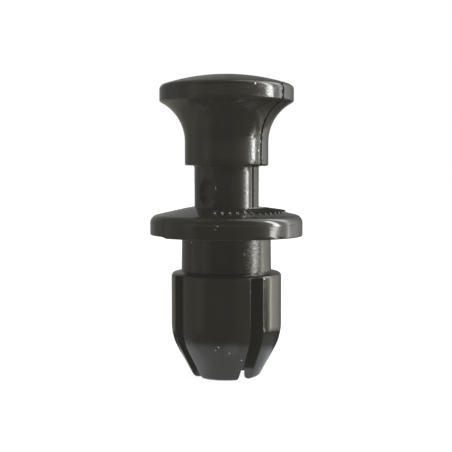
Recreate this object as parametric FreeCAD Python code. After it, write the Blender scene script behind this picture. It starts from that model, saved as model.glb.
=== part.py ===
import FreeCAD, Part
import math
import os

# Black plastic push rivet, standing on the tips of its four legs with the pin raised.
# Millimetres. Z is up, Z = 0 is the leg tips, the axis of the rivet is the Z axis, the front faces -Y.
# An azimuth is an angle seen from above, 0 at the front and positive towards +X.

# Legs of the grommet
LEG_TIP_RADIUS = 3.09
LEG_TIP_WALL = 1.04
LEG_END_ROUND = 0.55
LEG_INNER_ROUND = 0.25
LEG_TAPER_ANGLE = 28.5
LEG_TAPER_SWEEP = 4.6
BARREL_RADIUS = 4.88
BARREL_LENGTH = 4.17
SLOT_WIDTH = 1.25
SLOT_AZIMUTH = 32.5
SLOT_COUNT = 4
SLOT_TOP_DROP = 0.4
SLOT_TOP_ROUND = 0.25
LEG_EDGE_ROUND = 0.1

# Shoulder and neck of the grommet
SHOULDER_ROUND = 0.35
SHOULDER_SLOPE = 20.7
NECK_RADIUS = 3.985
NECK_TOP_RADIUS = 3.94
NECK_LENGTH = 2.95

# Flange of the grommet
FLANGE_RADIUS = 6.755
FLANGE_RIM_HEIGHT = 1.17
FLANGE_TOP_ROUND = 0.75
FLANGE_TOP_SLOPE = 12.6
FLANGE_EDGE_ROUND = 0.1
MOUTH_ROUND = 0.3
RELIEF_MARGIN = 0.17
RELIEF_DEPTH = 0.15
MOULD_STEP_WIDTH = 0.75
MOULD_STEP_HEIGHT = 0.12
MOULD_STEP_AZIMUTH = 128.0

# Raised ribs on the flange's cone, over part of the turn
RIB_COUNT = 20
RIB_PITCH = 7.2
RIB_FIRST_AZIMUTH = -11.3
RIB_ANGLE = 2.9
RIB_MARGIN = 0.18
RIB_OUTER_RADIUS = 5.3
RIB_HEIGHT = 0.17

# Inside of the grommet
LEDGE_WIDTH = 0.3
CAVITY_TOP_DROP = 0.15
RAMP_BOTTOM = 0.9

# Pin above the grommet
STROKE = 3.66
SEAT_GAP = 0.01
SHANK_RADIUS = 2.83
COLLAR_STEP = 0.84
COLLAR_LENGTH = 2.07
COLLAR_EDGE_ROUND = 0.15
SHANK_FILLET = 0.2
TRUMPET_SWEEP = 3.9
HEAD_RADIUS = 5.9
HEAD_RIM_HEIGHT = 1.03
HEAD_EDGE_ROUND = 0.5
DOME_RADIUS = 18.0
PARTING_AZIMUTH = 52.5
PARTING_STEP = 0.05
DIMPLE_RADIUS = 1.06
DIMPLE_DEPTH = 0.26
DIMPLE_AZIMUTH = -37.5
DIMPLE_DROP = 2.28

# Pin inside the grommet
SNAP_RING_HEIGHT = 0.45
SNAP_LEAD_HEIGHT = 0.25
NOSE_LENGTH = 3.0
NOSE_TIP_RADIUS = 1.5
NOSE_ROUND = 0.3

# Clearances between the pin and the grommet
BORE_CLEARANCE = 0.07
RING_CLEARANCE = 0.12
LEDGE_CLEARANCE = 0.02
RAMP_CLEARANCE = 0.62

# Levels and radii that follow from the sizes above
TAPER = math.radians(LEG_TAPER_ANGLE)
TIP_BORE_RADIUS = LEG_TIP_RADIUS - LEG_TIP_WALL
TAPER_BOTTOM = LEG_END_ROUND * (1 - math.sin(TAPER))
SWEEP_END_RADIUS = BARREL_RADIUS - LEG_TAPER_SWEEP * (1 - math.cos(TAPER))
TAPER_TOP = TAPER_BOTTOM + (SWEEP_END_RADIUS - LEG_TIP_RADIUS) / math.tan(TAPER)
BARREL_BOTTOM = TAPER_TOP + LEG_TAPER_SWEEP * math.sin(TAPER)
BARREL_TOP = BARREL_BOTTOM + BARREL_LENGTH

SHOULDER = math.radians(SHOULDER_SLOPE)
SHOULDER_EDGE_RADIUS = BARREL_RADIUS - SHOULDER_ROUND * (1 - math.sin(SHOULDER))
SHOULDER_EDGE_TOP = BARREL_TOP + SHOULDER_ROUND * math.cos(SHOULDER)
NECK_BOTTOM = SHOULDER_EDGE_TOP + (SHOULDER_EDGE_RADIUS - NECK_RADIUS) * math.tan(SHOULDER)
NECK_TOP = NECK_BOTTOM + NECK_LENGTH
SLOT_TOP = NECK_BOTTOM - SLOT_TOP_DROP
SLOT_AZIMUTHS = [SLOT_AZIMUTH + turn * 360.0 / SLOT_COUNT for turn in range(SLOT_COUNT)]
CAVITY_TOP = NECK_BOTTOM - CAVITY_TOP_DROP

CONE = math.radians(FLANGE_TOP_SLOPE)
RIM_TOP = NECK_TOP + FLANGE_RIM_HEIGHT
CONE_OUTER_RADIUS = FLANGE_RADIUS - FLANGE_TOP_ROUND * (1 - math.sin(CONE))
CONE_OUTER_TOP = RIM_TOP + FLANGE_TOP_ROUND * math.cos(CONE)
BORE_RADIUS = SHANK_RADIUS + BORE_CLEARANCE
CAVITY_RADIUS = BORE_RADIUS + LEDGE_WIDTH
RELIEF_RADIUS = BARREL_RADIUS + RELIEF_MARGIN
MOUTH_CENTRE_RADIUS = BORE_RADIUS + MOUTH_ROUND
CONE_INNER_RADIUS = MOUTH_CENTRE_RADIUS + MOUTH_ROUND * math.sin(CONE)
RIB_INNER_RADIUS = CONE_INNER_RADIUS + RIB_MARGIN
CONE_INNER_TOP = CONE_OUTER_TOP + (CONE_OUTER_RADIUS - CONE_INNER_RADIUS) * math.tan(CONE)
MOUTH_CENTRE_LEVEL = CONE_INNER_TOP - MOUTH_ROUND * math.cos(CONE)
MOUTH_TOP = MOUTH_CENTRE_LEVEL + MOUTH_ROUND

COLLAR_RADIUS = SHANK_RADIUS + COLLAR_STEP
COLLAR_BOTTOM = MOUTH_TOP + STROKE + SEAT_GAP
COLLAR_TOP = COLLAR_BOTTOM + COLLAR_LENGTH
SNAP_RING_RADIUS = CAVITY_RADIUS - RING_CLEARANCE
SNAP_RING_TOP = CAVITY_TOP - LEDGE_CLEARANCE
SNAP_RING_BOTTOM = SNAP_RING_TOP - SNAP_RING_HEIGHT
RAMP_TOP = SNAP_RING_BOTTOM - STROKE - RAMP_CLEARANCE
NOSE_TOP = SNAP_RING_BOTTOM - SNAP_LEAD_HEIGHT
NOSE_BOTTOM = NOSE_TOP - NOSE_LENGTH


class Outline:
    """A closed outline in the radius and height plane, drawn point by point and turned about Z."""

    def __init__(self, radius, height):
        self.start = FreeCAD.Vector(radius, 0, height)
        self.last = self.start
        self.edges = []

    def line(self, radius, height):
        end = FreeCAD.Vector(radius, 0, height)
        self.edges.append(Part.LineSegment(self.last, end).toShape())
        self.last = end

    def arc(self, centre_radius, centre_height, size, first, last):
        """An arc about a centre, from one angle to another in degrees; 0 points away from the axis."""
        def at(angle):
            turn = math.radians(angle)
            return FreeCAD.Vector(
                centre_radius + size * math.cos(turn), 0, centre_height + size * math.sin(turn))

        start = at(first)
        if start.distanceToPoint(self.last) > 1e-7:
            self.line(start.x, start.z)
        end = at(last)
        self.edges.append(Part.Arc(self.last, at((first + last) / 2), end).toShape())
        self.last = end

    def turned(self, first_angle=0.0, angle=360.0):
        self.line(self.start.x, self.start.z)
        face = Part.Face(Part.Wire(self.edges))
        axis = FreeCAD.Vector(0, 0, 1)
        origin = FreeCAD.Vector(0, 0, 0)
        face.rotate(origin, axis, first_angle)
        return face.revolve(origin, axis, angle)


def heading(azimuth):
    """Angle about Z, counted from +X, of a direction given by its azimuth."""
    return azimuth - 90.0


def single_solid(shape):
    """The one solid of a shape that boolean steps may have wrapped in a compound."""
    return shape.Solids[0] if len(shape.Solids) == 1 else shape


def grommet_body():
    """The grommet before its slots: legs, shoulder, neck and flange with the bore through them."""
    o = Outline(BORE_RADIUS, CAVITY_TOP)
    o.line(CAVITY_RADIUS, CAVITY_TOP)
    o.line(CAVITY_RADIUS, RAMP_TOP)
    o.line(TIP_BORE_RADIUS, RAMP_BOTTOM)
    o.arc(TIP_BORE_RADIUS + LEG_INNER_ROUND, LEG_INNER_ROUND, LEG_INNER_ROUND, 180, 270)
    end_centre = LEG_TIP_RADIUS - LEG_END_ROUND * math.cos(TAPER)
    o.arc(end_centre, LEG_END_ROUND, LEG_END_ROUND, -90, -LEG_TAPER_ANGLE)
    sweep_centre = BARREL_RADIUS - LEG_TAPER_SWEEP
    o.arc(sweep_centre, BARREL_BOTTOM, LEG_TAPER_SWEEP, -LEG_TAPER_ANGLE, 0)
    o.arc(BARREL_RADIUS - SHOULDER_ROUND, BARREL_TOP, SHOULDER_ROUND, 0, 90 - SHOULDER_SLOPE)
    o.line(NECK_RADIUS, NECK_BOTTOM)
    o.line(NECK_TOP_RADIUS, NECK_TOP + RELIEF_DEPTH)
    o.line(RELIEF_RADIUS, NECK_TOP + RELIEF_DEPTH)
    o.line(RELIEF_RADIUS, NECK_TOP)
    edge_radius = FLANGE_RADIUS - FLANGE_EDGE_ROUND
    o.arc(edge_radius, NECK_TOP + FLANGE_EDGE_ROUND, FLANGE_EDGE_ROUND, -90, 0)
    o.arc(FLANGE_RADIUS - FLANGE_TOP_ROUND, RIM_TOP, FLANGE_TOP_ROUND, 0, 90 - FLANGE_TOP_SLOPE)
    o.arc(MOUTH_CENTRE_RADIUS, MOUTH_CENTRE_LEVEL, MOUTH_ROUND, 90 - FLANGE_TOP_SLOPE, 180)
    return o.turned()


def slot_cutter(azimuth):
    """A flat-topped bar that opens the legs from the axis outwards on one side."""
    reach = BARREL_RADIUS + SLOT_WIDTH
    bar = Part.makeBox(reach, SLOT_WIDTH, SLOT_TOP + SLOT_WIDTH)
    bar.translate(FreeCAD.Vector(0, -SLOT_WIDTH / 2, -SLOT_WIDTH))
    top_edges = [
        edge for edge in bar.Edges
        if abs(edge.CenterOfMass.z - SLOT_TOP) < 1e-6 and abs(edge.CenterOfMass.x - reach / 2) < 1e-6
    ]
    bar = bar.makeFillet(min(SLOT_TOP_ROUND, SLOT_WIDTH / 3), top_edges)
    bar.rotate(FreeCAD.Vector(0, 0, 0), FreeCAD.Vector(0, 0, 1), heading(azimuth))
    return bar


def mould_step_cutter():
    """Half a ring off the flange's lower edge, where the mould's two halves did not quite meet."""
    inner = FLANGE_RADIUS - MOULD_STEP_WIDTH
    outer = FLANGE_RADIUS + MOULD_STEP_WIDTH
    o = Outline(inner, NECK_TOP - MOULD_STEP_HEIGHT)
    o.line(outer, NECK_TOP - MOULD_STEP_HEIGHT)
    o.line(outer, NECK_TOP + MOULD_STEP_HEIGHT)
    o.line(inner, NECK_TOP + MOULD_STEP_HEIGHT)
    return o.turned(heading(MOULD_STEP_AZIMUTH), 180.0)


def rib(azimuth):
    """One raised rib, a thin slice of a cone that lies on the flange's own cone."""
    def cone_height(radius):
        return CONE_OUTER_TOP + (CONE_OUTER_RADIUS - radius) * math.tan(CONE)

    o = Outline(RIB_INNER_RADIUS, cone_height(RIB_INNER_RADIUS) - RIB_HEIGHT)
    o.line(RIB_OUTER_RADIUS, cone_height(RIB_OUTER_RADIUS) - RIB_HEIGHT)
    o.line(RIB_OUTER_RADIUS, cone_height(RIB_OUTER_RADIUS))
    o.line(RIB_OUTER_RADIUS - RIB_HEIGHT, cone_height(RIB_OUTER_RADIUS) + RIB_HEIGHT)
    o.line(RIB_INNER_RADIUS + RIB_HEIGHT, cone_height(RIB_INNER_RADIUS) + RIB_HEIGHT / 2)
    o.line(RIB_INNER_RADIUS, cone_height(RIB_INNER_RADIUS))
    return o.turned(heading(azimuth) - RIB_ANGLE / 2, RIB_ANGLE)


def is_slot_edge(edge):
    """True for an upright edge where a slot's wall meets the outside of the barrel."""
    middle = edge.CenterOfMass
    if abs(math.hypot(middle.x, middle.y) - BARREL_RADIUS) > 1e-4:
        return False
    upright = abs(edge.Vertexes[0].Z - edge.Vertexes[-1].Z) > BARREL_LENGTH / 2
    for azimuth in SLOT_AZIMUTHS:
        turn = math.radians(heading(azimuth))
        along = middle.x * math.cos(turn) + middle.y * math.sin(turn)
        across = middle.y * math.cos(turn) - middle.x * math.sin(turn)
        if upright and along > 0 and abs(abs(across) - SLOT_WIDTH / 2) < 1e-4:
            return True
    return False


def grommet():
    """The outer moulding: flange, neck and four legs in one piece."""
    body = single_solid(grommet_body().cut([slot_cutter(azimuth) for azimuth in SLOT_AZIMUTHS]))
    # Each round starts on the barrel and runs on down the leg, because the outline there is smooth.
    body = body.makeFillet(LEG_EDGE_ROUND, [edge for edge in body.Edges if is_slot_edge(edge)])
    body = body.cut(mould_step_cutter())
    ribs = [rib(RIB_FIRST_AZIMUTH + turn * RIB_PITCH) for turn in range(RIB_COUNT)]
    return single_solid(body.fuse(ribs))


def pin_outline(inset):
    """Half section of the pin, smaller by the inset all round its sides."""
    shank = SHANK_RADIUS - inset
    collar = COLLAR_RADIUS - inset
    head = HEAD_RADIUS - inset
    ring = SNAP_RING_RADIUS - inset
    nose_tip = NOSE_TIP_RADIUS - inset
    o = Outline(0, NOSE_BOTTOM)
    o.line(nose_tip - NOSE_ROUND, NOSE_BOTTOM)
    o.line(nose_tip, NOSE_BOTTOM + NOSE_ROUND)
    o.line(shank, NOSE_TOP)
    o.line(ring, SNAP_RING_BOTTOM)
    o.line(ring, SNAP_RING_TOP)
    o.line(shank, SNAP_RING_TOP)
    o.arc(shank + SHANK_FILLET, COLLAR_BOTTOM - SHANK_FILLET, SHANK_FILLET, 180, 90)
    edge_radius = collar - COLLAR_EDGE_ROUND
    o.arc(edge_radius, COLLAR_BOTTOM + COLLAR_EDGE_ROUND, COLLAR_EDGE_ROUND, -90, 0)
    sweep_centre = collar + TRUMPET_SWEEP
    sweep_angle = math.degrees(math.acos((sweep_centre - head) / TRUMPET_SWEEP))
    o.arc(sweep_centre, COLLAR_TOP, TRUMPET_SWEEP, 180, 180 - sweep_angle)
    rim_top = COLLAR_TOP + TRUMPET_SWEEP * math.sin(math.radians(sweep_angle)) + HEAD_RIM_HEIGHT
    edge_centre = head - HEAD_EDGE_ROUND
    dome_angle = math.degrees(math.acos(edge_centre / (DOME_RADIUS - HEAD_EDGE_ROUND)))
    o.arc(edge_centre, rim_top, HEAD_EDGE_ROUND, 0, dome_angle)
    dome_centre = rim_top - edge_centre * math.tan(math.radians(dome_angle))
    o.arc(0, dome_centre, DOME_RADIUS, dome_angle, 90)
    return o


def dimple_cutter():
    """A shallow round well in the front of the shank, left by the mould."""
    well = Part.makeCylinder(
        DIMPLE_RADIUS, SHANK_RADIUS, FreeCAD.Vector(SHANK_RADIUS - DIMPLE_DEPTH, 0, 0), FreeCAD.Vector(1, 0, 0))
    well.translate(FreeCAD.Vector(0, 0, COLLAR_BOTTOM - DIMPLE_DROP))
    well.rotate(FreeCAD.Vector(0, 0, 0), FreeCAD.Vector(0, 0, 1), heading(DIMPLE_AZIMUTH))
    return well


def pin():
    """The inner moulding: domed head, collar, shank and nose in one piece, from a mould of two halves."""
    back_start = heading(PARTING_AZIMUTH)
    back = pin_outline(PARTING_STEP).turned(back_start, 180.0)
    front = pin_outline(0.0).turned(back_start + 180.0, 180.0)
    return single_solid(front.fuse(back).cut(dimple_cutter()))


def main():
    os.makedirs("parts", exist_ok=True)
    for name, shape in (("grommet", grommet()), ("pin", pin())):
        print("%s: %d solid, valid %s, %.1f mm3, height %.2f to %.2f" % (
            name, len(shape.Solids), shape.isValid(), shape.Volume, shape.BoundBox.ZMin, shape.BoundBox.ZMax))
        shape.exportStep("parts/%s.step" % name)
    print("barrel %.3f to %.3f, neck %.3f to %.3f, mouth %.3f, collar %.3f to %.3f" % (
        BARREL_BOTTOM, BARREL_TOP, NECK_BOTTOM, NECK_TOP, MOUTH_TOP, COLLAR_BOTTOM, COLLAR_TOP))


main()
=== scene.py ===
# %% [markdown]
# A push rivet in glossy black plastic, standing on the tips of its legs with its pin raised.
# The real one is two mouldings. The grommet has a round flange, a neck and four sprung legs.
# The pin slides in it: pushed down, its nose spreads the legs behind a panel.
# Both are round bodies, so both are drawn here as half an outline and turned about the upright axis.
# All sizes below are millimetres and become metres where the mesh is made.

import math

import bpy
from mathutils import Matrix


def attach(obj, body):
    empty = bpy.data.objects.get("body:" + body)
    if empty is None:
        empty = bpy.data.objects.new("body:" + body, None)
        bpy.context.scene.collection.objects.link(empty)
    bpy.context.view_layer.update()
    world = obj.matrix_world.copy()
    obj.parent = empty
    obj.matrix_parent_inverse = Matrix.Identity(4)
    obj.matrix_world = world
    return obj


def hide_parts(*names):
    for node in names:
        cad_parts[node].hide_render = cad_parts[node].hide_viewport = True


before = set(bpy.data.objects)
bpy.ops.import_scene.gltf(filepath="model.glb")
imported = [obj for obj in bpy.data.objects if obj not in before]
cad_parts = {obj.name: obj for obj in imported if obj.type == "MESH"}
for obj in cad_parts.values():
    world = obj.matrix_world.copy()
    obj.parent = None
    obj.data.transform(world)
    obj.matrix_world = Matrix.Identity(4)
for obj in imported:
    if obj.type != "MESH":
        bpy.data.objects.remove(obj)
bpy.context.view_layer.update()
MM = 0.001

# %% [markdown]
# The camera comes first, because every later look at the picture depends on it.
# The photograph was taken from close by, about 9 cm, a little above the middle and tilted down by 3 degrees.
# That closeness shows: the near side of the flange hangs below its far side.
# So the camera stands at that same distance with a matching lens, and not far away with a longer one.

# %% Camera
CAMERA_DISTANCE = 88.67
CAMERA_HEIGHT = 18.19
CAMERA_ASIDE = -0.03
CAMERA_TILT = 3.15
CAMERA_LENS = 79.65
bpy.ops.object.select_all(action="DESELECT")
bpy.ops.object.camera_add(
    location=(CAMERA_ASIDE * MM, -CAMERA_DISTANCE * MM, CAMERA_HEIGHT * MM),
    rotation=(math.radians(90 - CAMERA_TILT), 0, 0),
)
camera = bpy.context.object
camera.data.lens = CAMERA_LENS
camera.data.sensor_width = 36
camera.data.clip_start = 1 * MM
camera.data.dof.use_dof = False
bpy.context.scene.camera = camera
print("Camera lens", round(camera.data.lens, 2), "mm")

# %% [markdown]
# A round body could be a primitive cylinder that is stretched and bevelled ring by ring.
# Drawing its half outline is closer to how the mould is cut, and each curve gets as many points as it needs.
# One vertex is the pen. Extruding it draws a line, and spinning it draws an arc.
# The whole outline is then spun about the axis, and what meets there is merged.


# %% A pen for half outlines
class Pen:
    """Draws a half outline from one vertex on, in the plane of radius and height."""

    def __init__(self, name, radius, height):
        bpy.ops.object.select_all(action="DESELECT")
        bpy.ops.mesh.primitive_plane_add(size=MM)
        self.piece = bpy.context.object
        self.piece.name = name
        self.piece.data.name = name
        bpy.ops.object.mode_set(mode="EDIT")
        bpy.ops.mesh.merge(type="CENTER")
        bpy.ops.transform.translate(value=(radius * MM, 0, height * MM))
        self.radius = radius
        self.height = height

    def line(self, radius, height):
        """A straight run from where the pen is."""
        run = ((radius - self.radius) * MM, 0, (height - self.height) * MM)
        bpy.ops.mesh.extrude_region_move(TRANSFORM_OT_translate={"value": run})
        self.radius = radius
        self.height = height

    def arc(self, centre_radius, centre_height, size, first, last, pieces):
        """An arc about a centre, from one angle to another; 0 points away from the axis, 90 up."""
        start_radius = centre_radius + size * math.cos(math.radians(first))
        start_height = centre_height + size * math.sin(math.radians(first))
        if math.hypot(start_radius - self.radius, start_height - self.height) > 0.0001:
            self.line(start_radius, start_height)
        bpy.ops.mesh.spin(
            steps=pieces,
            angle=math.radians(abs(last - first)),
            center=(centre_radius * MM, 0, centre_height * MM),
            axis=(0, 1 if last > first else -1, 0),
        )
        self.radius = centre_radius + size * math.cos(math.radians(last))
        self.height = centre_height + size * math.sin(math.radians(last))

    def turn(self, columns, first_heading):
        """Spins the outline into a round body, whose first column stands at a given heading."""
        bpy.ops.mesh.select_all(action="SELECT")
        bpy.ops.mesh.spin(
            steps=columns, angle=math.radians(360), center=(0, 0, 0), axis=(0, 0, 1)
        )
        bpy.ops.mesh.select_all(action="SELECT")
        bpy.ops.mesh.remove_doubles(threshold=0.001 * MM)
        bpy.ops.mesh.normals_make_consistent(inside=False)
        bpy.ops.transform.rotate(
            value=-math.radians(first_heading), orient_axis="Z", center_override=(0, 0, 0)
        )
        bpy.ops.object.mode_set(mode="OBJECT")
        return self.piece


# %% Ways to pick a part of a mesh
def heading_of(azimuth):
    """The angle about Z, from +X, of a direction given from the front, positive to the right."""
    return azimuth - 90.0


def place(point):
    """A mesh point as radius, heading and height, in millimetres and degrees."""
    radius = math.hypot(point[0], point[1]) / MM
    heading = math.degrees(math.atan2(point[1], point[0]))
    return radius, heading, point[2] / MM


def apart(first, second):
    """The turn from one heading to another, between -180 and 180 degrees."""
    return (first - second + 180.0) % 360.0 - 180.0


def pick(piece, kind, rule):
    """Selects the vertices, edges or faces whose middle a rule says yes to, and nothing else."""
    bpy.context.view_layer.objects.active = piece
    bpy.ops.object.mode_set(mode="EDIT")
    bpy.ops.mesh.select_mode(type=kind)
    bpy.ops.mesh.select_all(action="DESELECT")
    bpy.ops.object.mode_set(mode="OBJECT")
    mesh = piece.data
    points = mesh.vertices
    found = 0
    if kind == "VERT":
        items = [(item, item.co) for item in mesh.vertices]
    elif kind == "EDGE":
        items = [
            (item, (points[item.vertices[0]].co + points[item.vertices[1]].co) / 2)
            for item in mesh.edges
        ]
    else:
        items = [(item, item.center) for item in mesh.polygons]
    for item, middle in items:
        item.select = bool(rule(item, middle))
        found += item.select
    bpy.ops.object.mode_set(mode="EDIT")
    return found


# %% [markdown]
# The pin is drawn first: nose, snap ring, shank, collar, trumpet, head rim and dome.
# The trumpet is one large hollow arc, and it needs the most points, because its highlight bends over it.
# Straight runs get a few rings too, so that a seam that is cut down them later can waver.
# The trumpet's arc stops two degrees before the rim, where a small round takes over.

# %% Sizes of the pin
COLUMNS_OF_PIN = 144
NOSE_BOTTOM = 5.633
NOSE_LENGTH = 3.0
NOSE_TIP_RADIUS = 1.5
NOSE_ROUND = 0.3
SHANK_RADIUS = 2.83
RING_RADIUS = 3.08
RING_BOTTOM = 8.883
RING_TOP = 9.333
COLLAR_BOTTOM = 18.681
COLLAR_RADIUS = 3.67
COLLAR_LENGTH = 2.07
COLLAR_ROUND = 0.15
SHANK_FILLET = 0.2
TRUMPET_SWEEP = 3.9
HEAD_RADIUS = 5.9
HEAD_RIM_HEIGHT = 1.03
HEAD_ROUND = 0.5
HEAD_LOWER_ROUND = 0.1
DOME_RADIUS = 18.0
COLLAR_TOP = COLLAR_BOTTOM + COLLAR_LENGTH
TRUMPET_CENTRE = COLLAR_RADIUS + TRUMPET_SWEEP
TRUMPET_ANGLE = math.degrees(math.acos((TRUMPET_CENTRE - HEAD_RADIUS) / TRUMPET_SWEEP))
RIM_BOTTOM = COLLAR_TOP + TRUMPET_SWEEP * math.sin(math.radians(TRUMPET_ANGLE))
RIM_TOP = RIM_BOTTOM + HEAD_RIM_HEIGHT
HEAD_ROUND_CENTRE = HEAD_RADIUS - HEAD_ROUND
DOME_ANGLE = math.degrees(math.acos(HEAD_ROUND_CENTRE / (DOME_RADIUS - HEAD_ROUND)))
DOME_CENTRE = RIM_TOP - HEAD_ROUND_CENTRE * math.tan(math.radians(DOME_ANGLE))
TRUMPET_END = 182 - TRUMPET_ANGLE
LOWER_ROUND_START = -50
SHANK_RINGS = (RING_TOP, 15.0, 15.6, 16.2, 16.8, 17.4, 18.0)
COLLAR_RINGS = (19.3, 19.8, 20.3)
RIM_RINGS = (24.6, 24.85, 25.1)
print("Head rim from", round(RIM_BOTTOM, 3), "to", round(RIM_TOP, 3), "mm")

# %% Draw and turn the pin
PARTING_AZIMUTH = 54.3
pen = Pen("push_pin", 0, NOSE_BOTTOM)
pen.line(NOSE_TIP_RADIUS - NOSE_ROUND, NOSE_BOTTOM)
pen.line(NOSE_TIP_RADIUS, NOSE_BOTTOM + NOSE_ROUND)
pen.line(SHANK_RADIUS, NOSE_BOTTOM + NOSE_LENGTH)
pen.line(RING_RADIUS, RING_BOTTOM)
pen.line(RING_RADIUS, RING_TOP)
for level in SHANK_RINGS:
    pen.line(SHANK_RADIUS, level)
pen.arc(SHANK_RADIUS + SHANK_FILLET, COLLAR_BOTTOM - SHANK_FILLET, SHANK_FILLET, 180, 90, 4)
pen.arc(COLLAR_RADIUS - COLLAR_ROUND, COLLAR_BOTTOM + COLLAR_ROUND, COLLAR_ROUND, -90, 0, 4)
for level in COLLAR_RINGS:
    pen.line(COLLAR_RADIUS, level)
pen.arc(TRUMPET_CENTRE, COLLAR_TOP, TRUMPET_SWEEP, 180, TRUMPET_END, 30)
lower_centre = RIM_BOTTOM + HEAD_LOWER_ROUND
pen.arc(HEAD_RADIUS - HEAD_LOWER_ROUND, lower_centre, HEAD_LOWER_ROUND, LOWER_ROUND_START, 0, 3)
for level in RIM_RINGS:
    pen.line(HEAD_RADIUS, level)
pen.arc(HEAD_ROUND_CENTRE, RIM_TOP, HEAD_ROUND, 0, DOME_ANGLE, 7)
pen.arc(0, DOME_CENTRE, DOME_RADIUS, DOME_ANGLE, 90, 14)
push_pin = pen.turn(COLUMNS_OF_PIN, heading_of(PARTING_AZIMUTH))
print("Pin faces", len(push_pin.data.polygons), "top", max(v.co.z for v in push_pin.data.vertices))

# %% [markdown]
# The mould of the pin has two halves that don't quite meet.
# The back one stands a hair proud, and a dark seam runs down the right front from the rim to the shank.
# A line in the material alone would fade in the gloss, so the seam is a real groove. Painted shade darkens
# it later.
# The edges on the parting plane are bevelled to a strip, the back half is pushed out, and the strip is sunk.
# A little random shift, always the same one, makes it waver as the real one does, and more so on the head.

# %% The mould's parting seam down the pin
PARTING_HEADING = heading_of(PARTING_AZIMUTH)
PARTING_STEP = 0.045
SEAM_HALF_WIDTH = 0.08
SEAM_DEPTH = 0.12
SEAM_WAVER = 0.015
SEAM_WAVER_ABOVE = 0.05
SEAM_TOP = RIM_TOP + 0.3
SEAM_INNER_RADIUS = 1.3
NOSE_FACE_RADIUS = 1.1
SHANK_SEEN_FROM = 14.9


def on_parting(edge, middle):
    """True for an upright edge on the parting plane, below the dome."""
    radius, heading, height = place(middle)
    off = min(abs(apart(heading, PARTING_HEADING)), abs(apart(heading, PARTING_HEADING + 180)))
    return off < 0.2 and radius > SEAM_INNER_RADIUS and height < SEAM_TOP


def on_back_half(vertex, point):
    """True behind the parting plane, on the sides of the pin."""
    radius, heading, height = place(point)
    behind = 0.1 < apart(heading, PARTING_HEADING) < 179.9
    return behind and radius > NOSE_FACE_RADIUS and height < SEAM_TOP


def near_seam(reach, lowest):
    """A rule for what lies within a reach of the parting plane, above a level and below the dome."""
    turn = math.radians(PARTING_AZIMUTH)

    def rule(item, point):
        radius, heading, height = place(point)
        off = abs(point[0] * math.cos(turn) + point[1] * math.sin(turn)) / MM
        return off < reach and radius > SEAM_INNER_RADIUS and lowest < height < SEAM_TOP

    return rule


found = pick(push_pin, "EDGE", on_parting)
bpy.ops.mesh.bevel(offset=SEAM_HALF_WIDTH * MM, segments=1, affect="EDGES")
moved = pick(push_pin, "VERT", on_back_half)
bpy.ops.transform.shrink_fatten(value=PARTING_STEP * MM)
sunk = pick(push_pin, "FACE", near_seam(0.02, NOSE_BOTTOM))
bpy.ops.mesh.extrude_region_shrink_fatten(
    TRANSFORM_OT_shrink_fatten={"value": -SEAM_DEPTH * MM}
)
pick(push_pin, "VERT", near_seam(SEAM_HALF_WIDTH + 0.02, SHANK_SEEN_FROM))
bpy.ops.transform.vertex_random(offset=SEAM_WAVER * MM, uniform=0, normal=0, seed=4)
pick(push_pin, "VERT", near_seam(SEAM_HALF_WIDTH + 0.04, COLLAR_BOTTOM + 0.1))
bpy.ops.transform.vertex_random(offset=SEAM_WAVER_ABOVE * MM, uniform=0, normal=0, seed=4)
bpy.ops.object.mode_set(mode="OBJECT")
print("Parting edges", found, "vertices moved out", moved, "faces sunk", sunk)

# %% [markdown]
# A shallow round well in the shank, left by the mould, shows left of the middle.
# It has a flat floor and sloping sides, so a short cone cuts it, as a Boolean.

# %% Cut the dimple
DIMPLE_LEVEL = 16.32
DIMPLE_RADIUS = 1.24
DIMPLE_FLOOR_RADIUS = 0.6
DIMPLE_DEPTH = 0.4
DIMPLE_AZIMUTH = -35.5
CUTTER_LENGTH = 0.8
dimple_heading = math.radians(heading_of(DIMPLE_AZIMUTH))
dimple_slope = (DIMPLE_RADIUS - DIMPLE_FLOOR_RADIUS) / DIMPLE_DEPTH
cutter_middle = SHANK_RADIUS - DIMPLE_DEPTH + CUTTER_LENGTH / 2
bpy.ops.object.select_all(action="DESELECT")
bpy.ops.mesh.primitive_cone_add(
    vertices=64,
    radius1=DIMPLE_FLOOR_RADIUS * MM,
    radius2=(DIMPLE_FLOOR_RADIUS + dimple_slope * CUTTER_LENGTH) * MM,
    depth=CUTTER_LENGTH * MM,
    location=(
        cutter_middle * math.cos(dimple_heading) * MM,
        cutter_middle * math.sin(dimple_heading) * MM,
        DIMPLE_LEVEL * MM,
    ),
    rotation=(0, math.radians(90), dimple_heading),
)
dimple_cutter = bpy.context.object
bpy.context.view_layer.objects.active = push_pin
cut = push_pin.modifiers.new("dimple", "BOOLEAN")
cut.operation = "DIFFERENCE"
cut.solver = "EXACT"
cut.object = dimple_cutter
bpy.ops.object.modifier_apply(modifier="dimple")
bpy.data.objects.remove(dimple_cutter)
print("Pin faces with the dimple", len(push_pin.data.polygons))

# %% [markdown]
# The grommet's outline runs up its bore's inside, so the turned body is a closed shell with a real wall.
# Two rings on the flange's upright side keep its shading straight between the rounds above and below it.
# It has 100 columns: a slot is four of them wide, and two of them are the pitch of the ribs on the flange.

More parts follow.
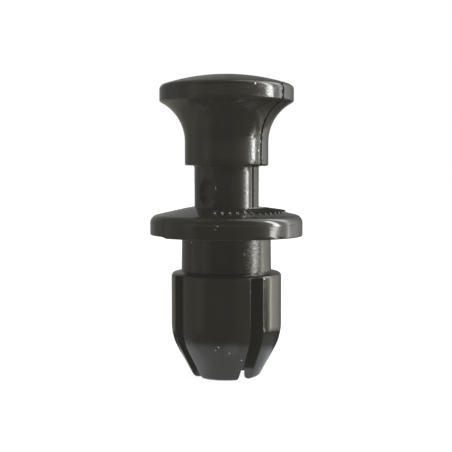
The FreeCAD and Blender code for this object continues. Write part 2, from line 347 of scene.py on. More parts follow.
# %% Sizes of the grommet
COLUMNS_OF_GROMMET = 100
BORE_RADIUS = 2.9
CAVITY_RADIUS = 3.2
CAVITY_TOP = 9.353
RAMP_TOP = 4.603
RAMP_BOTTOM = 0.9
TIP_BORE_RADIUS = 2.05
LEG_INNER_ROUND = 0.25
LEG_END_ROUND = 0.55
LEG_TIP_RADIUS = 3.09
LEG_TAPER_ANGLE = 28.5
LEG_TAPER_SWEEP = 4.6
BARREL_RADIUS = 4.88
BARREL_BOTTOM = 4.753
BARREL_TOP = 8.923
SHOULDER_ROUND = 0.35
SHOULDER_SLOPE = 14.0
SLOT_TOP = 9.103
NECK_RADIUS = 3.985
NECK_TOP_RADIUS = 3.94
NECK_BOTTOM = 9.42
NECK_TOP = 12.453
RELIEF_RADIUS = 5.05
RELIEF_DEPTH = 0.15
MOULD_STEP_RADIUS = 6.005
MOULD_STEP_HEIGHT = 0.12
FLANGE_RADIUS = 6.755
FLANGE_EDGE_ROUND = 0.1
FLANGE_RIM_TOP = 13.623
FLANGE_SIDE_RINGS = (12.76, 13.54)
FLANGE_TOP_ROUND = 0.75
FLANGE_TOP_SLOPE = 12.6
CONE_OUTER_RADIUS = 6.169
CONE_OUTER_TOP = 14.355
RIB_INNER_RADIUS = 3.445
RIB_OUTER_RADIUS = 5.3
MOUTH_ROUND = 0.3
MOUTH_CENTRE_LEVEL = 14.711
SLOT_TOP_ANGLE = math.degrees(math.asin((SLOT_TOP - BARREL_TOP) / SHOULDER_ROUND))


def cone_level(radius):
    """The height of the flange's cone at a radius."""
    slope = math.tan(math.radians(FLANGE_TOP_SLOPE))
    return CONE_OUTER_TOP + (CONE_OUTER_RADIUS - radius) * slope


print("The shoulder meets the slot's top at", round(SLOT_TOP_ANGLE, 1), "degrees")

# %% Draw and turn the grommet
SLOT_AZIMUTH = 32.5
taper = math.radians(LEG_TAPER_ANGLE)
pen = Pen("grommet_body", BORE_RADIUS, CAVITY_TOP)
pen.line(CAVITY_RADIUS, CAVITY_TOP)
pen.line(CAVITY_RADIUS, SLOT_TOP)
pen.line(CAVITY_RADIUS, RAMP_TOP)
pen.line(TIP_BORE_RADIUS, RAMP_BOTTOM)
pen.arc(TIP_BORE_RADIUS + LEG_INNER_ROUND, LEG_INNER_ROUND, LEG_INNER_ROUND, 180, 270, 3)
end_centre = LEG_TIP_RADIUS - LEG_END_ROUND * math.cos(taper)
pen.arc(end_centre, LEG_END_ROUND, LEG_END_ROUND, -90, -LEG_TAPER_ANGLE, 5)
sweep_centre = BARREL_RADIUS - LEG_TAPER_SWEEP
pen.arc(sweep_centre, BARREL_BOTTOM, LEG_TAPER_SWEEP, -LEG_TAPER_ANGLE, 0, 14)
shoulder_centre = BARREL_RADIUS - SHOULDER_ROUND
pen.arc(shoulder_centre, BARREL_TOP, SHOULDER_ROUND, 0, SLOT_TOP_ANGLE, 3)
pen.arc(shoulder_centre, BARREL_TOP, SHOULDER_ROUND, SLOT_TOP_ANGLE, 90 - SHOULDER_SLOPE, 4)
pen.line(NECK_RADIUS, NECK_BOTTOM)
pen.line(NECK_TOP_RADIUS, NECK_TOP + RELIEF_DEPTH)
pen.line(RELIEF_RADIUS, NECK_TOP + RELIEF_DEPTH)
pen.line(RELIEF_RADIUS, NECK_TOP)
pen.line(MOULD_STEP_RADIUS - 0.01, NECK_TOP)
pen.line(MOULD_STEP_RADIUS + 0.01, NECK_TOP)
edge_radius = FLANGE_RADIUS - FLANGE_EDGE_ROUND
pen.arc(edge_radius, NECK_TOP + FLANGE_EDGE_ROUND, FLANGE_EDGE_ROUND, -90, 0, 4)
for level in FLANGE_SIDE_RINGS:
    pen.line(FLANGE_RADIUS, level)
top_centre = FLANGE_RADIUS - FLANGE_TOP_ROUND
pen.arc(top_centre, FLANGE_RIM_TOP, FLANGE_TOP_ROUND, 0, 90 - FLANGE_TOP_SLOPE, 9)
pen.line(RIB_OUTER_RADIUS, cone_level(RIB_OUTER_RADIUS))
pen.line(RIB_INNER_RADIUS, cone_level(RIB_INNER_RADIUS))
mouth_centre = BORE_RADIUS + MOUTH_ROUND
pen.arc(mouth_centre, MOUTH_CENTRE_LEVEL, MOUTH_ROUND, 90 - FLANGE_TOP_SLOPE, 180, 6)
pen.line(BORE_RADIUS, CAVITY_TOP)
grommet = pen.turn(COLUMNS_OF_GROMMET, heading_of(SLOT_AZIMUTH))
print("Grommet faces", len(grommet.data.polygons))

# %% [markdown]
# Four slots part the legs. Their walls are parallel, but the columns of a turned body run to the axis.
# A Boolean cut would cross them and leave slivers, which break up the gloss along the leg's edges.
# So the columns are slid round first, each ring by its own share, until they stand on the walls.
# Then the faces between are deleted, and the walls and the slot's top are filled.

# %% Slide the columns onto the slot walls
SLOT_WIDTH = 1.25
COLUMN = 360.0 / COLUMNS_OF_GROMMET
SLOT_HALF = 2 * COLUMN
FIRST_SLOT = heading_of(SLOT_AZIMUTH)


def slot_turn(heading):
    """The turn from the nearest slot's middle to a heading."""
    return (heading - FIRST_SLOT + 45.0) % 90.0 - 45.0


def wall_turn(radius):
    """The turn from a slot's middle to its wall, at a radius."""
    return math.degrees(math.asin(SLOT_WIDTH / 2 / radius))


for vertex in grommet.data.vertices:
    radius, heading, height = place(vertex.co)
    if height < SLOT_TOP + 0.01:
        turn = slot_turn(heading)
        wall = wall_turn(radius)
        if abs(turn) < SLOT_HALF + 0.01:
            slid = turn * wall / SLOT_HALF
        else:
            share = (abs(turn) - SLOT_HALF) / (45.0 - SLOT_HALF)
            slid = math.copysign(wall + share * (45.0 - wall), turn)
        new_heading = math.radians(heading + slid - turn)
        vertex.co.x = radius * math.cos(new_heading) * MM
        vertex.co.y = radius * math.sin(new_heading) * MM
print("Slot wall at", round(wall_turn(BARREL_RADIUS), 2), "degrees on the barrel")

# %% Open the slots and fill their walls


def in_slot(face, middle):
    """True for a face between the walls of a slot and below its top."""
    radius, heading, height = place(middle)
    return height < SLOT_TOP - 0.0001 and abs(slot_turn(heading)) < wall_turn(radius) - 0.2


def wall_rule(azimuth, side, top_only=False):
    """A rule that finds one slot wall's own points."""
    turn = math.radians(heading_of(azimuth))

    def rule(item, point):
        along = (point[0] * math.cos(turn) + point[1] * math.sin(turn)) / MM
        across = (point[1] * math.cos(turn) - point[0] * math.sin(turn)) / MM
        height = point[2] / MM
        if top_only and abs(height - SLOT_TOP) > 0.001:
            return False
        return along > 0 and abs(across - side * SLOT_WIDTH / 2) < 0.002 and height < SLOT_TOP + 0.001

    return rule


def top_rule(azimuth):
    """A rule that finds the edges round one slot's top."""
    slot_heading = heading_of(azimuth)

    def rule(edge, middle):
        radius, heading, height = place(middle)
        within = abs(apart(heading, slot_heading)) < wall_turn(radius) + 0.05
        return within and abs(height - SLOT_TOP) < 0.001

    return rule


opened = pick(grommet, "FACE", in_slot)
bpy.ops.mesh.delete(type="FACE")
SLOT_AZIMUTHS = [SLOT_AZIMUTH + quarter * 90.0 for quarter in range(4)]
for azimuth in SLOT_AZIMUTHS:
    for side in (-1, 1):
        pick(grommet, "VERT", wall_rule(azimuth, side, top_only=True))
        bpy.ops.mesh.edge_face_add()
for azimuth in SLOT_AZIMUTHS:
    for side in (-1, 1):
        found = pick(grommet, "EDGE", wall_rule(azimuth, side))
        bpy.ops.mesh.edge_face_add()
    top = pick(grommet, "EDGE", top_rule(azimuth))
    bpy.ops.mesh.edge_face_add()
bpy.ops.mesh.select_all(action="SELECT")
bpy.ops.mesh.normals_make_consistent(inside=False)
bpy.ops.object.mode_set(mode="OBJECT")
print("Faces opened", opened, "edges round a wall", found, "round a slot's top", top)

# %% Soften the edges of the legs
LEG_EDGE_ROUND = 0.05


def leg_edge(edge, middle):
    """True for an edge where a slot's wall or top meets the outside of a leg."""
    radius, heading, height = place(middle)
    if height > SLOT_TOP + 0.001 or radius < LEG_TIP_RADIUS - LEG_END_ROUND:
        return False
    if height > LEG_END_ROUND * 2 and radius < CAVITY_RADIUS + 0.05:
        return False
    return abs(abs(slot_turn(heading)) - wall_turn(radius)) < 0.05


outside = pick(grommet, "EDGE", leg_edge)
bpy.ops.mesh.bevel(offset=LEG_EDGE_ROUND * MM, segments=3, affect="EDGES")
bpy.ops.object.mode_set(mode="OBJECT")
print("Leg edges softened", outside)

# %% [markdown]
# Twenty fine ribs stand on the flange's cone, over two fifths of the turn.
# Every second column of the cone becomes a rib: inset for its width, and again with a height for its slopes.
# They rise to the height of the mouth's edge, so their crests slope less than the cone.
# They run out into it at their inner ends.
# The corners at their outer ends are rounded, because that is where the real ribs catch the light.

# %% Raise the ribs
RIB_FIRST_AZIMUTH = -11.3
RIB_PITCH = 7.2
RIB_COUNT = 20
RIB_ANGLE = 2.9
RIB_HEIGHT = 0.17
RIB_SIDE_SLOPE = 0.08
rib_shift = apart(heading_of(RIB_FIRST_AZIMUTH), FIRST_SLOT + COLUMN / 2) % COLUMN


def on_cone(vertex, point):
    """True for the two rings at the ends of the ribs."""
    radius, heading, height = place(point)
    at_ends = min(abs(radius - RIB_INNER_RADIUS), abs(radius - RIB_OUTER_RADIUS)) < 0.01
    return at_ends and abs(height - cone_level(radius)) < 0.01


def is_rib(face, middle):
    """True for the faces that become ribs."""
    radius, heading, height = place(middle)
    if not RIB_INNER_RADIUS < radius < RIB_OUTER_RADIUS or abs(height - cone_level(radius)) > 0.02:
        return False
    step = apart(heading, heading_of(RIB_FIRST_AZIMUTH)) / RIB_PITCH
    return abs(step - round(step)) < 0.1 and -0.5 < step < RIB_COUNT - 0.5


pick(grommet, "VERT", on_cone)
bpy.ops.transform.rotate(
    value=-math.radians(rib_shift), orient_axis="Z", center_override=(0, 0, 0)
)
ribs = pick(grommet, "FACE", is_rib)
mid_radius = (RIB_INNER_RADIUS + RIB_OUTER_RADIUS) / 2
margin = mid_radius * math.radians(COLUMN - RIB_ANGLE) / 2
bpy.ops.mesh.inset(thickness=margin * MM, use_individual=True)
bpy.ops.mesh.inset(thickness=RIB_SIDE_SLOPE * MM, depth=RIB_HEIGHT * MM, use_individual=True)
bpy.ops.object.mode_set(mode="OBJECT")
print("Ribs", ribs, "shifted by", round(rib_shift, 2), "degrees")

# %% Shape the ribs' ends
INNER_END_DROP = 0.13
RIB_CORNER_ROUND = 0.09


def rib_corner(edge, middle):
    """True for an edge that climbs a rib at its outer end."""
    radius, heading, height = place(middle)
    if radius < mid_radius or not CONE_OUTER_TOP < height < MOUTH_CENTRE_LEVEL + 0.5:
        return False
    above = []
    for corner in edge.vertices:
        radius, heading, height = place(grommet.data.vertices[corner].co)
        above.append(height - cone_level(radius))
    return abs(above[0] - above[1]) > RIB_HEIGHT / 2 and min(above) > -0.02


def inner_crest(vertex, point):
    """True for the top of a rib at its inner end."""
    radius, heading, height = place(point)
    return RIB_INNER_RADIUS < radius < RIB_INNER_RADIUS + 0.3 and height > cone_level(radius) + 0.1


lowered = pick(grommet, "VERT", inner_crest)
bpy.ops.transform.translate(value=(0, 0, -INNER_END_DROP * MM))
corners = pick(grommet, "EDGE", rib_corner)
bpy.ops.mesh.bevel(offset=RIB_CORNER_ROUND * MM, segments=4, affect="EDGES")
bpy.ops.object.mode_set(mode="OBJECT")
print("Crest points lowered", lowered, "rib corners rounded", corners)

# %% [markdown]
# Where the two halves of the grommet's mould meet, the flange's lower edge jumps by a tenth of a millimetre.
# Its ring of vertices is already there, so half of them are simply moved up.

# %% The mould's step under the flange
MOULD_STEP_AZIMUTH = 128.0
STEP_START = heading_of(MOULD_STEP_AZIMUTH)


def under_rim(vertex, point):
    """True for the lower edge of the flange on the half that sits higher."""
    radius, heading, height = place(point)
    return (
        radius > MOULD_STEP_RADIUS
        and height < NECK_TOP + FLANGE_EDGE_ROUND + 0.01
        and height > NECK_TOP - 0.01
        and 0 < apart(heading, STEP_START) % 360 < 180
    )


raised = pick(grommet, "VERT", under_rim)
bpy.ops.transform.translate(value=(0, 0, MOULD_STEP_HEIGHT * MM))
bpy.ops.object.mode_set(mode="OBJECT")
print("Vertices raised under the rim", raised)

# %% [markdown]
# Moulded plastic flows softly over its curves and breaks at its true corners.
# Smooth shading by angle does that, and weighted normals keep the large faces even beside the small ones.

# %% Smooth shading for both pieces


def smooth(piece, angle):
    """Soft shading over the curves, crisp at true corners, and even over large faces."""
    bpy.ops.object.select_all(action="DESELECT")
    piece.select_set(True)
    bpy.context.view_layer.objects.active = piece
    bpy.ops.object.shade_smooth_by_angle(angle=math.radians(angle))
    weighted = piece.modifiers.new("even_shading", "WEIGHTED_NORMAL")
    weighted.keep_sharp = True
    bpy.ops.object.modifier_apply(modifier="even_shading")
    print(piece.name, "faces", len(piece.data.polygons), "vertices", len(piece.data.vertices))


SHARP_FROM = 32
smooth(push_pin, SHARP_FROM)
smooth(grommet, SHARP_FROM)

# %% [markdown]
# The finish is near-black plastic with a moulded gloss. Nothing on it is quite even.
# The reflections waver, a fine grain breaks the highlights, and the right side has rubbed spots.
# Down each mould seam runs a dark line of painted shade. Pale marks paint specks, and glints as painted
# highlights.
# In the bump, the factor of each unevenness is its height in millimetres.
# In the roughness, it is what that unevenness adds to the gloss of the bare plastic, 0.03.
# The sums that place such marks are written as Python expressions, and a small class turns them into nodes.


# %% A socket that can be reckoned with
class Wire:
    """An output socket. Sums written with it add Math nodes to its tree."""

    def __init__(self, tree, socket=None):
        self.tree = tree
        self.socket = socket

    def node(self, kind, settings=None, inputs=None, output=0):
        """Adds a node with its settings, and its inputs as values or wires."""
        made = self.tree.nodes.new(kind)
        for name, value in (settings or {}).items():
            if name == "stops":
                stops = made.color_ramp.elements
                stops[0].position = value[0][0]
                stops[1].position = value[-1][0]
                for position, level in value[1:-1]:
                    stops.new(position)
                for stop, (position, level) in zip(stops, value):
                    stop.color = (level, level, level, 1)
            else:
                setattr(made, name, value)
        for name, value in (inputs or {}).items():
            if isinstance(value, Wire):
                self.tree.links.new(value.socket, made.inputs[name])
            else:
                made.inputs[name].default_value = value
        return Wire(self.tree, made.outputs[output])

    def sum(self, operation, first, second=0.0):
        """A Math node."""
        return self.node("ShaderNodeMath", {"operation": operation}, {0: first, 1: second})

    def __add__(self, other):
        return self.sum("ADD", self, other)

    def __radd__(self, other):
        return self.sum("ADD", other, self)

    def __sub__(self, other):
        return self.sum("SUBTRACT", self, other)

    def __rsub__(self, other):
        return self.sum("SUBTRACT", other, self)

    def __mul__(self, other):
        return self.sum("MULTIPLY", self, other)

    def __rmul__(self, other):
        return self.sum("MULTIPLY", other, self)

    def __truediv__(self, other):
        return self.sum("DIVIDE", self, other)

    def __rtruediv__(self, other):
        return self.sum("DIVIDE", other, self)

    def size(self):
        """The value without its sign."""
        return self.sum("ABSOLUTE", self)

    def mix(self, share, first, second):
        """A colour between two, by a share from 0 to 1."""
        return self.node(
            "ShaderNodeMix", {"data_type": "RGBA"}, {0: share, 6: first, 7: second}, output=2
        )

    def noise(self, whole, stretch, scale, detail):
        """A noise that is stretched along the axes. Its middle is a half."""
        bent = self.node("ShaderNodeMapping", inputs={"Vector": whole, "Scale": stretch})
        return self.node(
            "ShaderNodeTexNoise", inputs={"Vector": bent, "Scale": scale, "Detail": detail}
        )

    def show(self, kind="ShaderNodeOutputMaterial"):
        """Makes this shader what the material or the world shows."""
        end = self.tree.nodes.new(kind)
        self.tree.links.new(self.socket, end.inputs["Surface"])

    def fade(self, start, end):
        """1 where the value is below start, 0 above end, soft between."""
        return self.node(
            "ShaderNodeMapRange",
            {"interpolation_type": "SMOOTHSTEP"},
            {"Value": self, "From Min": start, "From Max": end, "To Min": 1.0, "To Max": 0.0},
        )


def new_material(name):
    """A material with an empty node tree, and a wire to start from."""
    material = bpy.data.materials.new(name)
    material.use_nodes = True
    material.node_tree.nodes.clear()
    return material, Wire(material.node_tree)


def coordinates(start):
    """The object's own coordinates: the whole vector, and x, y and z in millimetres."""
    whole = start.node("ShaderNodeTexCoord", output="Object")
    parts = [
        start.node("ShaderNodeSeparateXYZ", inputs={0: whole}, output=axis) * 1000.0
        for axis in range(3)
    ]
    return whole, parts


# %% The black plastic
DEGREE = 180.0 / math.pi
BLACK = (0.0190, 0.0184, 0.0150, 1)
PALER_BLACK = (0.0225, 0.0218, 0.0180, 1)
# Painted shade: a near-black laid down each mould seam, for the shade in its groove.
PAINTED_SEAM_SHADE = (0.004, 0.004, 0.004, 1)
# A pale colour for specks and a scratch, and also for glints as painted highlights.
PALE_SPECK_AND_GLINT = (0.55, 0.55, 0.53, 1)


def spot(azimuth, height, radius, at_azimuth, at_height, width, tall):
    """1 inside a small oval mark on a round surface of a given radius, 0 outside it. Sizes in mm."""
    across = (azimuth - at_azimuth) * (radius / DEGREE / width)
    up = (height - at_height) * (1.0 / tall)
    return azimuth.sum("SQRT", across * across + up * up).fade(0.3, 1.0)


def black_plastic(name, wear, seam_azimuth, seam_shade):
    """Glossy black moulded plastic with painted shade in its seam. A function adds one piece's wear, specks
    and painted highlights.
    """
    material, start = new_material(name)
    whole, (x, y, z) = coordinates(start)
    azimuth = start.sum("ARCTAN2", x, 0.0 - y) * DEGREE
    drift = start.noise(whole, (1, 1, 1), 260.0, 2.0)
    grain = start.noise(whole, (1, 1, 1), 5200.0, 3.0)
    lathe = start.noise(whole, (1, 1, 3.5), 2000.0, 2.0)
    radius = start.sum("SQRT", x * x + y * y)
    rubbed, specks_and_glints, dents, streaky = wear(start, whole, azimuth, radius, z)
    turn = math.radians(seam_azimuth)
    seam = (x * math.cos(turn) + y * math.sin(turn)).size().fade(0.07, 0.1)
    seam = seam * z.fade(RIM_TOP, SEAM_TOP)
    base = start.mix(drift, BLACK, PALER_BLACK)
    # Painted shade: the base darkens down the seam.
    seam_shaded = start.mix(seam * seam_shade, base, PAINTED_SEAM_SHADE)
    # Pale specks, and painted highlights where glints show.
    specked_and_glinting = start.mix(specks_and_glints, seam_shaded, PALE_SPECK_AND_GLINT)
    height = drift * 0.02 + grain * 0.0004 + rubbed * grain * 0.006 + lathe * streaky * 0.005
    height = height - specks_and_glints * 0.02 - dents * 0.2 - seam * 0.01
    bump = start.node(
        "ShaderNodeBump", inputs={"Strength": 1.0, "Distance": 1.0, "Height": height * MM}
    )
    streaks = lathe.fade(0.42, 0.6) * streaky
    rough = drift * 0.05 + grain * 0.03 + streaks * 0.14 + rubbed * 0.2 + 0.03
    shader = start.node(
        "ShaderNodeBsdfPrincipled",
        inputs={"Base Color": specked_and_glinting, "Roughness": rough, "Normal": bump, "IOR": 1.5},
    )
    shader.show()
    return material


# %% [markdown]
# The pin is rubbed on the front of its rim, and has a small pale nick on the rim.
# Painted highlights, pale dots by the dimple and on the collar, stand for glints there.
# Each such mark is a soft oval that lightens and dents the plastic at one azimuth and height.
# It is given by the radius of the surface there, its azimuth and height, its half width and half height.

# %% Wear and painted highlights of the pin


def pin_wear_and_glints(start, whole, azimuth, radius, z):
    """The rubbed rim, a pale nick, and painted highlights for glints. The pin has no dents, and its streaks
    are even.
    """
    patches = start.noise(whole, (1, 1, 1), 1700.0, 2.0)
    on_rim = (z - 24.85).size().fade(0.35, 0.6)
    in_front = (azimuth - 14.0).size().fade(13.0, 21.0)
    rubbed = on_rim * in_front * (1.0 - patches.fade(0.44, 0.6))
    rim_nick = spot(azimuth, z, 5.86, 24.3, 25.45, 0.09, 0.12)
    # Painted highlight: a pale streak at the dimple's right edge.
    dimple_glint = spot(azimuth, z, 2.69, -20.3, 16.68, 0.07, 0.26) * 0.25
    # Painted highlights: two pale dots on the collar, beside the seam.
    collar_glints = (
        spot(azimuth, z, COLLAR_RADIUS, 49.0, 19.95, 0.07, 0.12)
        + spot(azimuth, z, COLLAR_RADIUS, 49.6, 19.5, 0.05, 0.07) * 0.6
    )
    return rubbed, rim_nick + dimple_glint + collar_glints, 0.0, 1.0


pin_plastic = black_plastic("pin_plastic", pin_wear_and_glints, PARTING_AZIMUTH, 1.0)
push_pin.data.materials.clear()
push_pin.data.materials.append(pin_plastic)

# %% [markdown]
# The grommet's neck is scuffed where a panel's edge has rubbed it, right of the middle.
# Its front leg has a few bright specks, and a painted reflection near its bend: a faint pale patch.
# The flange has two specks. The neck has a scratch, and a painted highlight at the top of its seam.
# Painted highlights, pale spots, stand for glints in the crease below the neck.
# The mouth's edge and the tips of the ribs carry painted highlights, and four small dents run down the right
# leg.

# %% Wear and painted highlights of the grommet
GROMMET_SEAM_AZIMUTH = -52.0
DENT_AZIMUTH = 76.0
DENT_LEVELS = (8.05, 6.78, 5.66, 4.58)


def grommet_wear_and_glints(start, whole, azimuth, radius, z):
    """The scuffed neck, specks and a scratch, painted highlights and a painted reflection, and four dents
    down one leg.
    """
    scratches = start.noise(whole, (1, 1, 2.5), 3600.0, 3.0)
    on_neck = (z - 10.9).size().fade(1.1, 1.6)
    at_right = (azimuth - 36.0).size().fade(8.0, 15.0)
    rubbed = on_neck * at_right * (0.2 + (1.0 - scratches.fade(0.45, 0.6)) * 0.6)
    flange_specks = (
        spot(azimuth, z, 6.75, -6.2, 13.64, 0.09, 0.07) * 0.35
        + spot(azimuth, z, 6.75, -7.6, 13.37, 0.12, 0.05) * 0.2
    )
    # A scratch on the neck, and a painted highlight at the top of the seam.
    neck_scratch_and_glint = (
        spot(azimuth, z, 3.96, 23.0, 11.08, 0.1, 0.22) * 0.14
        + spot(azimuth, z, 3.95, -49.6, 12.02, 0.06, 0.1) * 0.3
    )
    leg_specks = (
        spot(azimuth, z, 4.62, -8.3, 3.25, 0.07, 0.07) * 0.9
        + spot(azimuth, z, 4.51, -11.8, 2.96, 0.06, 0.06) * 0.5
        + spot(azimuth, z, 4.39, 3.5, 2.7, 0.07, 0.07) * 0.5
        + spot(azimuth, z, 4.01, 18.9, 1.98, 0.07, 0.07) * 0.6
    )
    # Painted reflection: a faint pale patch on the front leg's bend.
    painted_leg_reflection = spot(azimuth, z, 4.52, 6.0, 3.05, 0.9, 0.8) * 0.02
    # Painted highlights: pale spots in the crease below the neck.
    crease_highlights = (
        spot(azimuth, z, 4.3, 44.0, 9.35, 0.4, 0.07) * 0.15
        + spot(azimuth, z, 4.2, 23.0, 9.3, 0.3, 0.06) * 0.08
        + spot(azimuth, z, 4.3, 33.0, 9.32, 0.42, 0.12) * 0.16
    )
    specks_and_glints = flange_specks + neck_scratch_and_glint + leg_specks + painted_leg_reflection + crease_highlights
    # Painted highlights: the mouth's edge at the sides and the ribs' outer tips are made pale.
    mouth_edge = (radius - 3.22).size().fade(0.12, 0.22) * (z - 15.0).size().fade(0.1, 0.2)
    at_sides = (azimuth - 55.0).size().fade(20.0, 28.0) + (azimuth + 66.0).size().fade(8.0, 16.0) * 0.6
    rib_tips = (radius - 5.2).size().fade(0.06, 0.14) * (1.0 - z.fade(14.6, 14.7))
    tips_in_front = (azimuth - 4.0).size().fade(18.0, 24.0)
    specks_and_glints = specks_and_glints + mouth_edge * at_sides * 1.3 + rib_tips * tips_in_front * 0.4
    dents = 0.0
    for level in DENT_LEVELS:
        dents = dents + spot(azimuth, z, BARREL_RADIUS, DENT_AZIMUTH, level, 0.24, 0.16)
    streaky = z.fade(12.4, 12.6) - z.fade(9.0, 9.6) * 0.75 + 0.25
    return rubbed, specks_and_glints, dents, streaky


grommet_plastic = black_plastic("grommet_plastic", grommet_wear_and_glints, GROMMET_SEAM_AZIMUTH, 0.5)
grommet.data.materials.clear()
grommet.data.materials.append(grommet_plastic)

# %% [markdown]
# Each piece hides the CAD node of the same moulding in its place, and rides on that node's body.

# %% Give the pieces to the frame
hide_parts("pin")
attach(push_pin, "pin")
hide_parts("grommet")
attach(grommet, "grommet")
print("Pieces given to the frame:", push_pin.name, grommet.name)

# %% [markdown]
# The photograph shows the rivet alone on white. The floor here is plain white paper.
# Part of its white is its own colour under the lamps, so that it takes the soft shadow.
# The rest is a little light that only the camera sees, which makes up what the lamps leave short.

# %% Floor
PAPER_COLOUR = (0.5, 0.5, 0.5, 1)
PAPER_EXTRA_LIGHT = 0.6
bpy.ops.object.select_all(action="DESELECT")
bpy.ops.mesh.primitive_plane_add(size=3.0)
floor = bpy.context.object
floor.name = "floor"
floor_paper, start = new_material("floor_paper")
camera_ray = start.node("ShaderNodeLightPath", output="Is Camera Ray")
paper = start.node("ShaderNodeBsdfDiffuse", inputs={"Color": PAPER_COLOUR})
fill = start.node("ShaderNodeEmission", inputs={"Strength": camera_ray * PAPER_EXTRA_LIGHT})
start.node("ShaderNodeAddShader", inputs={0: paper, 1: fill}).show()
floor.data.materials.append(floor_paper)
floor.visible_glossy = False
print("Floor", floor.dimensions.x, "m wide")

# %% [markdown]
# The world is the light that a bright room throws from all sides, even and weak.
# To the camera it is plain white, so the horizon doesn't show.

# %% World
ROOM_LIGHT = 0.3
world = bpy.data.worlds.new("studio")
bpy.context.scene.world = world
world.use_nodes = True
world.node_tree.nodes.clear()
start = Wire(world.node_tree)
camera_ray = start.node("ShaderNodeLightPath", output="Is Camera Ray")
glossy_ray = start.node("ShaderNodeLightPath", output="Is Glossy Ray")
through_ray = start.node("ShaderNodeLightPath", output="Is Transmission Ray")
shown = start.sum("MINIMUM", camera_ray + glossy_ray + through_ray, 1.0)
level = shown * (1.0 - ROOM_LIGHT) + ROOM_LIGHT
background = start.node("ShaderNodeBackground", inputs={"Color": (1, 1, 1, 1), "Strength": level})
background.show("ShaderNodeOutputWorld")
print("World", world.name)

# %% [markdown]
# One broad lamp from the upper right gives the soft shadow.
# Five fill lamps without shadows come from the sides, the front, above and below.
# They stand for light thrown back by a bright room. Without them the slots and creases would go fully black.

# %% Lamps


def sun(name, strength, azimuth, elevation, spread, shadows):
    """A broad distant lamp that shines from an azimuth and an elevation. Gloss doesn't mirror it."""
    bpy.ops.object.select_all(action="DESELECT")
    tilt = math.radians(90 - elevation)
    bpy.ops.object.light_add(type="SUN", rotation=(tilt, 0, math.radians(azimuth)))
    lamp = bpy.context.object
    lamp.name = name
    lamp.data.energy = strength
    lamp.data.angle = math.radians(spread)
    lamp.data.use_shadow = shadows
    lamp.visible_glossy = False
    print("Lamp", name, "strength", strength)


sun("soft_lamp", 1.7, 60, 55, 40, True)
sun("left_fill", 2.1, -90, 0, 10, False)
sun("right_fill", 2.4, 90, 0, 10, False)
sun("front_fill", 0.5, 0, 0, 10, False)
sun("low_fill", 2.2, 0, -50, 10, False)
sun("top_fill", 1.8, 0, 90, 10, False)

# %% [markdown]
# Black plastic shows little but what it mirrors, so what stands round it matters more than the lamps.
# The room is dim, a little lighter at the left and behind, and bright at the right.
# There it has a tall window, and a second, fainter one behind that.
# A large shell round the set carries that picture by direction. Only mirrored rays see it.
# Each part of the room is a level along the azimuth or the elevation, and the parts are multiplied or added.


# %% The walls of the room that the gloss mirrors
def by_angle(angle, stops, top=1.0):
    """A level that follows an angle, from stops of angle and level; top is the highest level."""
    first = stops[0][0]
    span = stops[-1][0] - first
    ramp = angle.node(
        "ShaderNodeValToRGB",
        {"stops": [((at - first) / span, level / top) for at, level in stops]},
        {"Fac": (angle - first) / span},
    )
    return angle.node("ShaderNodeSeparateColor", inputs={"Color": ramp}) * top


def near_angle(angle, middle, half, soft):
    """1 within half of an angle's middle value, 0 beyond, with a soft edge."""
    return (angle - middle).size().fade(half - soft, half + soft)


bpy.ops.object.select_all(action="DESELECT")
bpy.ops.mesh.primitive_uv_sphere_add(segments=64, ring_count=32, radius=2.0)
room = bpy.context.object
room.name = "room"
room_light, start = new_material("room_light")
x, y, z = coordinates(start)[1]
azimuth = start.sum("ARCTAN2", x, 0.0 - y) * DEGREE
elevation = start.sum("ARCTAN2", z, start.sum("SQRT", x * x + y * y)) * DEGREE
WALL_LEVELS = [
    (-180, 0.24), (-168, 0.38), (-140, 0.27), (-118, 0.2), (-104, 0.28), (-98, 0.3), (-84, 0.22),
    (-70, 0.17), (-60, 0.28), (-54, 0.26), (-42, 0.04), (-30, 0.04), (-10, 0.09), (8, 0.05),
    (24, 0.07), (40, 0.14), (50, 0.28), (58, 0.6), (64, 1.2), (69, 1.9), (92, 1.9),
    (98, 2.0), (102, 2.6), (105.5, 6.2), (109, 3.3), (115, 2.2), (124, 1.6), (134, 0.95),
    (144, 0.5), (160, 0.22), (180, 0.2),
]
walls = by_angle(azimuth, WALL_LEVELS, 7.0)
at_right = 1.0 - azimuth.fade(40.0, 55.0)
walls = walls * (1.0 - at_right * elevation.fade(-15.0, -9.0) * 0.72)
walls = walls * (1.0 - at_right * elevation.fade(-45.0, -25.0) * 0.6)
below_window = elevation.fade(-7.2, -5.2) * near_angle(azimuth, 66.0, 32.0, 6.0)
walls = walls * (1.0 - below_window * 0.8)
sill = near_angle(elevation, -1.0, 1.15, 0.35) * near_angle(azimuth, 114.0, 10.0, 2.0)
walls = walls * (1.0 - sill * 0.55)
bright_band = near_angle(elevation, 10.0, 9.0, 2.0) * azimuth.size().fade(50.0, 80.0) * 0.22
ceiling = (1.0 - elevation.fade(50.0, 62.0)) * 0.12
walls = walls + bright_band + ceiling
print("Stops round the walls:", len(WALL_LEVELS))

# %% [markdown]
# The window's light makes the long highlights, and on the real part they are not quite straight.
# So the window's middle shifts a little with the elevation, and its brightness changes too.
# What comes from in front and from low down is a little warm.

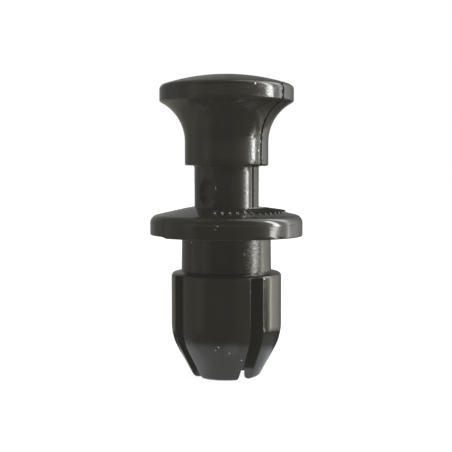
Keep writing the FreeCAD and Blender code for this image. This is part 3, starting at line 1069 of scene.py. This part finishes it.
# %% The windows
WINDOW_MIDDLES = [
    (-40, 86), (-28, 86), (-11, 82), (-8, 75), (-5, 76), (-4.1, 73), (-2.9, 72), (-2.2, 82),
    (-0.4, 82), (1, 80.5), (4.5, 78.6), (12, 79), (90, 79),
]
WINDOW_LEVELS = [
    (-40, 0), (-28, 0.3), (-20, 1), (-15, 3), (-11, 8), (-8, 8), (-4, 13), (-1, 16),
    (4, 21), (12, 15), (42, 18), (48, 6), (56, 1), (70, 0),
]
SECOND_WINDOW_LEVELS = [(-90, 0), (20, 0), (28, 2), (35, 4), (52, 4), (60, 0), (90, 0)]
main_middle = by_angle(elevation, WINDOW_MIDDLES, 90.0)
main_level = by_angle(elevation, WINDOW_LEVELS, 20.0)
main_half = near_angle(elevation, 4.5, 2.5, 1.0) * 2.0 + 4.8
main_light = ((azimuth - main_middle).size() - main_half).fade(-2.0, 2.0) * main_level
second_level = by_angle(elevation, SECOND_WINDOW_LEVELS, 4.0)
second_light = near_angle(azimuth, 112.0, 9.0, 4.0) * second_level
front = azimuth.size().fade(45.0, 75.0)
warmth = start.sum("MAXIMUM", front, elevation.fade(-9.0, 0.0))
tint = start.mix(warmth, (1.0, 1.0, 0.98, 1), (1.0, 0.96, 0.83, 1))
start.node(
    "ShaderNodeEmission",
    inputs={"Color": tint, "Strength": walls + main_light + second_light},
).show()
room.data.materials.append(room_light)
print("Room", round(room.dimensions.x, 2), "m across")

# %% [markdown]
# What is there for the mirrored rays alone is hidden from all others.
# It is stage too, so it is no part of the object.

# %% Hide the room from all but mirrored rays


def only_mirrored(stage_piece):
    """Lets only glossy rays see a piece of the stage."""
    stage_piece.visible_camera = False
    stage_piece.visible_diffuse = False
    stage_piece.visible_transmission = False
    stage_piece.visible_shadow = False
    print("Only mirrored:", stage_piece.name)


only_mirrored(room)

# %% [markdown]
# The tapered ends of the legs mirror the paper that the rivet stands on, a cooler white than the walls.
# A small sheet just under the floor's level stands for it, bright near the legs.
# It is a little brighter at the left, has a faint patch at the right, and is dark farther out.

# %% The paper that the legs mirror
bpy.ops.object.select_all(action="DESELECT")
bpy.ops.mesh.primitive_circle_add(
    vertices=64, radius=0.02, location=(0, 0, -0.05 * MM), fill_type="NGON"
)
sheet = bpy.context.object
sheet.name = "paper_glow"
sheet_light, start = new_material("sheet_light")
x, y = coordinates(start)[1][:2]
away = start.sum("SQRT", (x + 0.6) * (x + 0.6) + y * y)
near = away.fade(6.3, 9.8)
at_left = (x + 6.6).size().fade(3.2, 5.4) * y.size().fade(3.0, 4.6)
far_left = (x + 14.5).size().fade(2.0, 7.0) * y.size().fade(3.0, 9.0)
at_right = (x - 11.0).size().fade(4.0, 6.5) * y.size().fade(3.0, 6.0)
glow = start.node(
    "ShaderNodeEmission",
    inputs={
        "Color": (0.9, 0.93, 1.0, 1),
        "Strength": near * 0.72 + at_left * 0.35 + far_left * 0.2 + at_right * 0.18 + 0.05,
    },
)
glow.show()
sheet.data.materials.append(sheet_light)
only_mirrored(sheet)

# %% [markdown]
# The view transform stays plain, so that a colour shows as it is written.

# %% Finish
bpy.context.scene.view_settings.view_transform = "Standard"
